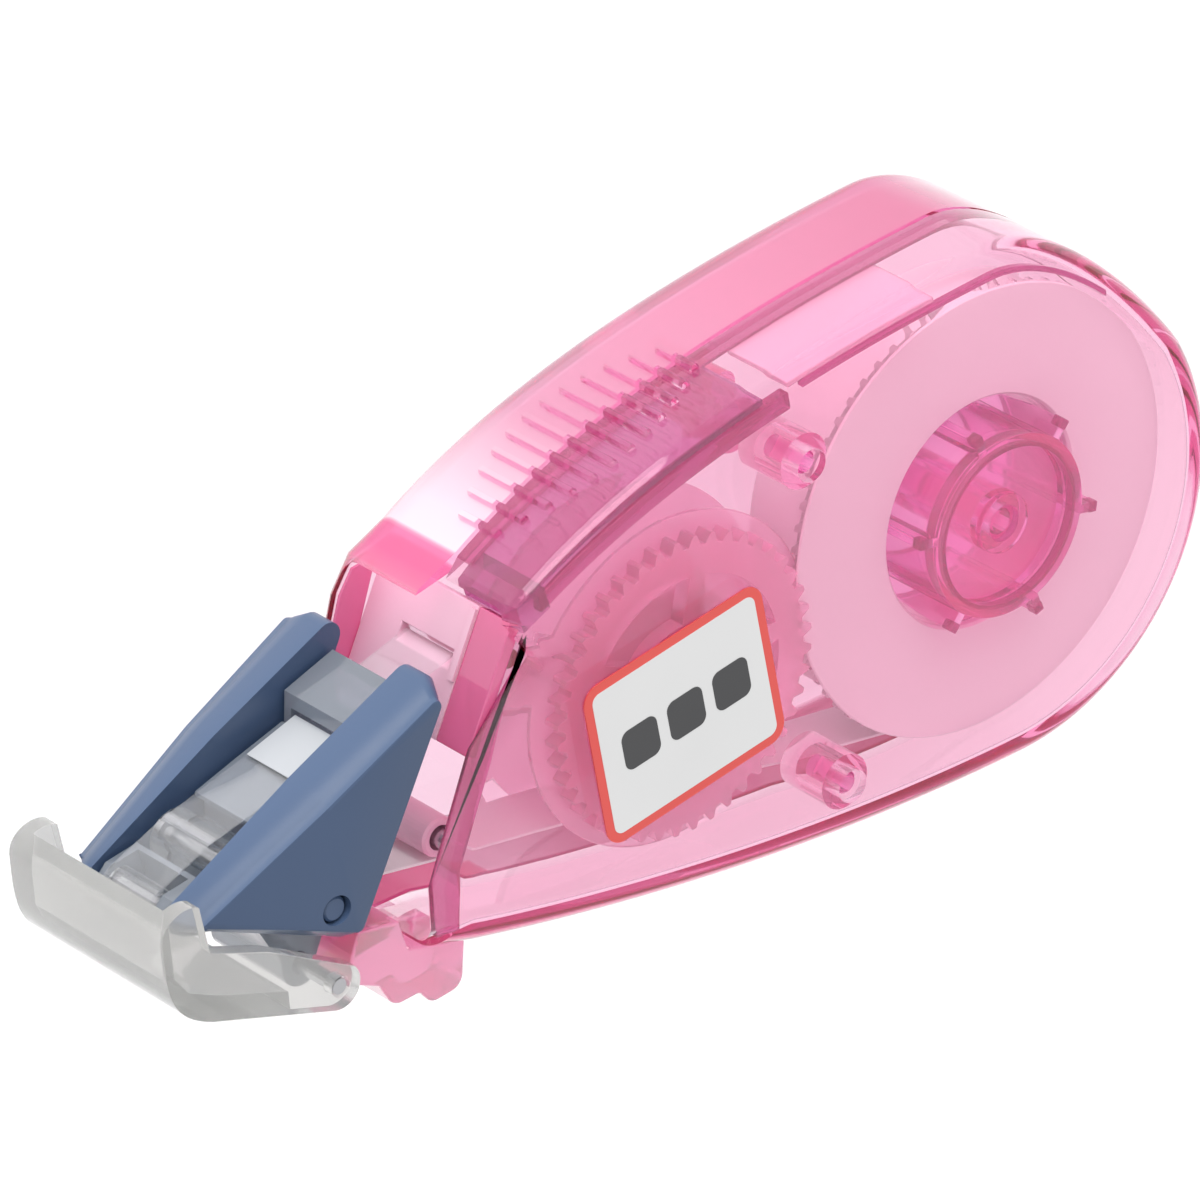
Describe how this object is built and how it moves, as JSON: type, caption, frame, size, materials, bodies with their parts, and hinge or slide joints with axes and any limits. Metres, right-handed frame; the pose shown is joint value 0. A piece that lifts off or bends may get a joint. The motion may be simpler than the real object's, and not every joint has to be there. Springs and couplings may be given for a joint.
{
  "type": "correction tape roller",
  "caption": "Flat see-through correction tape roller with a geared supply coil and take-up spool, a wedge nose that presses tape onto paper, and a swinging clear cap over the tip.",
  "frame": {"origin": "centre of the footprint, on the far shell's flat face", "axes": "+X towards the tip, -Y towards the ribbed grip edge, +Z through the thickness from the far shell to the near shell"},
  "size_m": [0.08, 0.0344, 0.0142],
  "materials": {
    "pink_casing": "polished, see-through",
    "pink_gears": "satin, see-through",
    "pale_pink": "satin",
    "blue_cheeks": "fine satin",
    "clear": "polished, see-through",
    "white_tape": "matte film",
    "used_tape": "thin translucent film",
    "steel": "drawn wire",
    "label_paper": "coated sticker"
  },
  "bodies": {
    "root": {"far_shell": "pink_casing", "near_shell": "pink_casing", "upper_clip_pin": "pale_pink", "lower_clip_pin": "pale_pink", "supply_axle": "pale_pink", "takeup_axle": "pale_pink", "upper_guide_pin": "steel", "lower_guide_pin": "steel", "mouth_bulkhead": "pale_pink", "nose_core": "clear", "near_cheek": "blue_cheeks", "far_cheek": "blue_cheeks", "cheek_pin": "blue_cheeks", "press_roller_pin": "steel", "tip_roller_pin": "steel", "cap_hinge_bracket": "pink_casing", "cap_hinge_pin": "steel", "fresh_tape": "white_tape", "return_tape": "used_tape", "label": "label_paper"},
    "supply": {"supply_hub": "pink_gears", "supply_gear": "pale_pink", "supply_core": "pale_pink", "supply_tape": "white_tape"},
    "takeup": {"takeup_spool": "pink_gears", "takeup_gear": "pink_gears", "takeup_tape": "used_tape"},
    "press_roller": {"press_roller": "clear"},
    "tip_roller": {"tip_roller": "clear"},
    "upper_guide": {"upper_guide_roller": "pale_pink"},
    "lower_guide": {"lower_guide_roller": "pale_pink"},
    "cap": {"tip_cap": "clear"}
  },
  "joints": [
    {"name": "supply_spin", "type": "hinge", "parent": "root", "child": "supply", "pos_m": [-0.02445, 0.0016, 0.007], "axis": [0, 0, 1], "continuous": true},
    {"name": "takeup_spin", "type": "hinge", "parent": "root", "child": "takeup", "pos_m": [-0.00095, 0.0026, 0.007], "axis": [0, 0, 1], "continuous": true},
    {"name": "press_roller_spin", "type": "hinge", "parent": "root", "child": "press_roller", "pos_m": [0.03145, 0.00005, 0.007], "axis": [0, 0, 1], "continuous": true},
    {"name": "tip_roller_spin", "type": "hinge", "parent": "root", "child": "tip_roller", "pos_m": [0.03585, 0.00085, 0.007], "axis": [0, 0, 1], "continuous": true},
    {"name": "upper_guide_spin", "type": "hinge", "parent": "root", "child": "upper_guide", "pos_m": [0.01115, -0.0048, 0.007], "axis": [0, 0, 1], "continuous": true},
    {"name": "lower_guide_spin", "type": "hinge", "parent": "root", "child": "lower_guide", "pos_m": [0.01655, 0.0052, 0.007], "axis": [0, 0, 1], "continuous": true},
    {"name": "cap_swing", "type": "hinge", "parent": "root", "child": "cap", "pos_m": [0.02805, 0.0077, 0.007], "axis": [0, 0, 1], "range_deg": [0, 110]}
  ],
  "couplings": [
    {"joint": "takeup_spin", "follows": "supply_spin", "ratio": -1.5}
  ]
}
